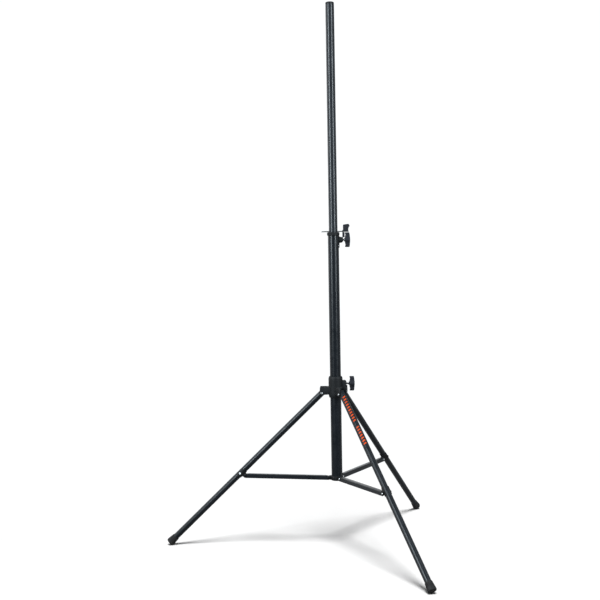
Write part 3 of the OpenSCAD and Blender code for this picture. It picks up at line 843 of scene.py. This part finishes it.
def make_strut(leg):
    """A folded channel, open below: side walls with round ends, and a web between them on top."""
    length = strut_length(leg)
    half, wide, skin, bend, web_gap = 8.5, 9.0, 1.5, 2.2, 11.0
    mid = wide - skin / 2
    crest = half - skin / 2
    walls = [(mid, -half + (crest - bend + half) * i / 10) for i in range(11)]
    fold = arc((mid - bend, crest - bend), bend, 0, 90, 5)
    right = walls + fold[1:]
    section = right + [(0, crest)] + [(-y, z) for y, z in reversed(right)]
    bm = bmesh.new()
    rows = []
    for y, z in section:
        share = max(0.0, min(1.0, (z - (crest - bend)) / (bend * 0.6)))
        overhang = math.sqrt(max(0.0, half * half - z * z))
        start = -overhang * (1 - share) + web_gap * share
        stops = [start, 14.0, 40.0, length / 2, length - 40.0, length - 14.0, length - start]
        rows.append([bm.verts.new((x, y, z)) for x in stops])
    for one, two in zip(rows, rows[1:]):
        for i in range(len(one) - 1):
            bm.faces.new((one[i], one[i + 1], two[i + 1], two[i]))
    piece = make_piece(f"strut_{leg}_channel", bm, strut_frames[leg], LEG_COAT, f"strut_{leg}",
                       [f"strut_{leg}"])
    solid = piece.modifiers.new("sheet", "SOLIDIFY")
    solid.thickness = skin * MM
    solid.offset = 0
    edge = piece.modifiers.new("edge", "BEVEL")
    edge.width = 0.3 * MM
    edge.segments = 2
    edge.limit_method = "ANGLE"
    edge.angle_limit = math.radians(50)


def make_strut_rivets(leg):
    length = strut_length(leg)
    bm = bmesh.new()
    for x in (0, length):
        add_rod(bm, PIVOT_R, -10, 10, shifted(x=x) @ TO_Y)
        for head in (TO_Y, TO_MINUS_Y):
            add_rivet_head(bm, 4.2, 2.4, shifted(x=x) @ head @ shifted(z=9.02))
    # the rivets of strut a get the darker zinc copy, painted shade
    finish = SHADED_ZINC if leg == "a" else ZINC
    make_piece(f"strut_{leg}_rivet_heads", bm, strut_frames[leg], finish, f"strut_{leg}",
               [f"strut_rivets_{leg}"])


# ---- studio ----

CAMERA_DISTANCE = 4.101       # from the mast, level
CAMERA_HEIGHT = 1.175
CAMERA_TURN = 2.006           # degrees round the mast, towards +X
CAMERA_PITCH = -2.475
CAMERA_YAW = -1.923
CAMERA_ROLL = -0.988
CAMERA_LENS = 61.29           # on a 36 mm sensor


def make_camera():
    data = bpy.data.cameras.new("camera")
    data.lens = CAMERA_LENS
    data.sensor_width = 36.0
    camera = bpy.data.objects.new("camera", data)
    bpy.context.scene.collection.objects.link(camera)
    turn = Matrix.Rotation(math.radians(CAMERA_TURN), 3, "Z")
    pitch, yaw, roll = (math.radians(a) for a in (CAMERA_PITCH, CAMERA_YAW, CAMERA_ROLL))
    ahead = turn @ Vector((math.sin(yaw) * math.cos(pitch), math.cos(yaw) * math.cos(pitch), math.sin(pitch)))
    level = turn @ Vector((math.cos(yaw), -math.sin(yaw), 0))
    above = level.cross(ahead)
    right = level * math.cos(roll) + above * math.sin(roll)
    up = above * math.cos(roll) - level * math.sin(roll)
    place = turn @ Vector((0, -CAMERA_DISTANCE, CAMERA_HEIGHT)) + Vector((MAST_X, 0, 0))
    camera.matrix_world = Matrix.Translation(place) @ Matrix((right, up, -ahead)).transposed().to_4x4()
    bpy.context.scene.camera = camera


def aim(obj, place, target):
    obj.location = place
    obj.rotation_mode = "QUATERNION"
    obj.rotation_quaternion = (Vector(target) - Vector(place)).to_track_quat("-Z", "Y")


def add_softbox(name, place, target, width, height, power, colour, unlit):
    data = bpy.data.lights.new(name, "AREA")
    data.shape = "RECTANGLE"
    data.size = width
    data.size_y = height
    data.energy = power
    data.color = colour
    light = bpy.data.objects.new(name, data)
    bpy.context.scene.collection.objects.link(light)
    light.light_linking.receiver_collection = unlit
    aim(light, place, target)


FLOOR_RADIUS = 1.25            # past this the white surroundings look the same to the camera


def make_floor():
    finish = Finish("floor", Roughness=0.75, Specular_IOR_Level=0.1)
    colour = finish.mix(finish.span(finish.noise(3, 4), 0.0, 1.0), (0.90, 0.90, 0.90), (0.93, 0.93, 0.93))
    material = finish.done(colour)
    bm = bmesh.new()
    bmesh.ops.create_circle(bm, cap_ends=True, segments=96, radius=FLOOR_RADIUS)
    mesh = bpy.data.meshes.new("floor")
    bm.to_mesh(mesh)
    bm.free()
    mesh.materials.append(material)
    floor = bpy.data.objects.new("floor", mesh)
    bpy.context.scene.collection.objects.link(floor)
    floor.visible_glossy = False
    return floor


def make_surroundings():
    """A white room to the camera, which lights matt surfaces only faintly. The paint's reflections see a wall
    behind the stand, brightest on the left above the horizon, and a dark room in front."""
    world = bpy.data.worlds.new("studio")
    world.use_nodes = True
    nodes, links = world.node_tree.nodes, world.node_tree.links
    path = nodes.new("ShaderNodeLightPath").outputs
    direction = nodes.new("ShaderNodeSeparateXYZ")
    links.new(nodes.new("ShaderNodeTexCoord").outputs["Generated"], direction.inputs[0])

    def spread(value, start, end, low, high):
        """value's stretch from start to end turned into low to high."""
        made = nodes.new("ShaderNodeMapRange")
        made.interpolation_type = "SMOOTHSTEP"
        links.new(value, made.inputs["Value"])
        for name, setting in (("From Min", start), ("From Max", end), ("To Min", low), ("To Max", high)):
            if isinstance(setting, float):
                made.inputs[name].default_value = setting
            else:
                links.new(setting, made.inputs[name])
        return made.outputs[0]

    left_wall = spread(direction.outputs["Z"], -0.08, 0.06, 0.38, 2.0)
    wall = spread(direction.outputs["X"], -0.6, 0.6, left_wall, 0.4)
    reflected = spread(direction.outputs["Y"], -0.35, 0.35, 0.07, wall)
    indirect = spread(path["Is Glossy Ray"], 0.0, 1.0, 0.13, reflected)
    strength = spread(path["Is Camera Ray"], 0.0, 1.0, indirect, 1.05)
    background = nodes["Background"]
    background.inputs["Color"].default_value = (0.97, 0.99, 1.0, 1.0)
    links.new(strength, background.inputs["Strength"])
    return world


def make_studio(floor):
    """The surroundings, a broad overhead sun that draws the floor's shadows and stays out of reflections, and
    two tall softboxes flagged off the floor."""
    scene = bpy.context.scene
    scene.world = make_surroundings()
    sun = bpy.data.lights.new("overhead", "SUN")
    sun.energy = 3.5
    sun.angle = math.radians(24)
    overhead = bpy.data.objects.new("overhead", sun)
    overhead.visible_glossy = False
    scene.collection.objects.link(overhead)
    aim(overhead, (0.2, -2.2, 6), (0, 0, 0))
    cool = (0.84, 0.94, 1.0)
    unlit = bpy.data.collections.new("unlit_by_softboxes")
    unlit.objects.link(floor)
    unlit.collection_objects[0].light_linking.link_state = "EXCLUDE"
    add_softbox("left_box", (-2.0, -2.3, 2.2), (MAST_X, 0, 1.7), 0.5, 2.4, 110, cool, unlit)
    add_softbox("right_box", (2.5, -2.1, 2.2), (MAST_X, 0, 1.7), 0.5, 2.4, 90, cool, unlit)
    scene.view_settings.view_transform = "Standard"


# ---- build ----

finish_cad_nodes()
make_upper_bush()
make_clamp_housing()
make_clamp_rivets()
make_pin_keeper()
make_hub()
make_hub_screws()
make_pole_cap()
make_clamp("upper", CLAMP_Z)
make_clamp("lower", STUD_Z)
make_pin_grip()
make_leg_collar()
make_collar_bush()
make_ear_rivets()
for leg in LEGS:
    make_leg_plug(leg)
    make_leg_bracket(leg)
    make_bracket_bolt(leg)
    make_foot(leg)
    make_strut(leg)
    make_strut_rivets(leg)
make_studio(make_floor())
make_camera()
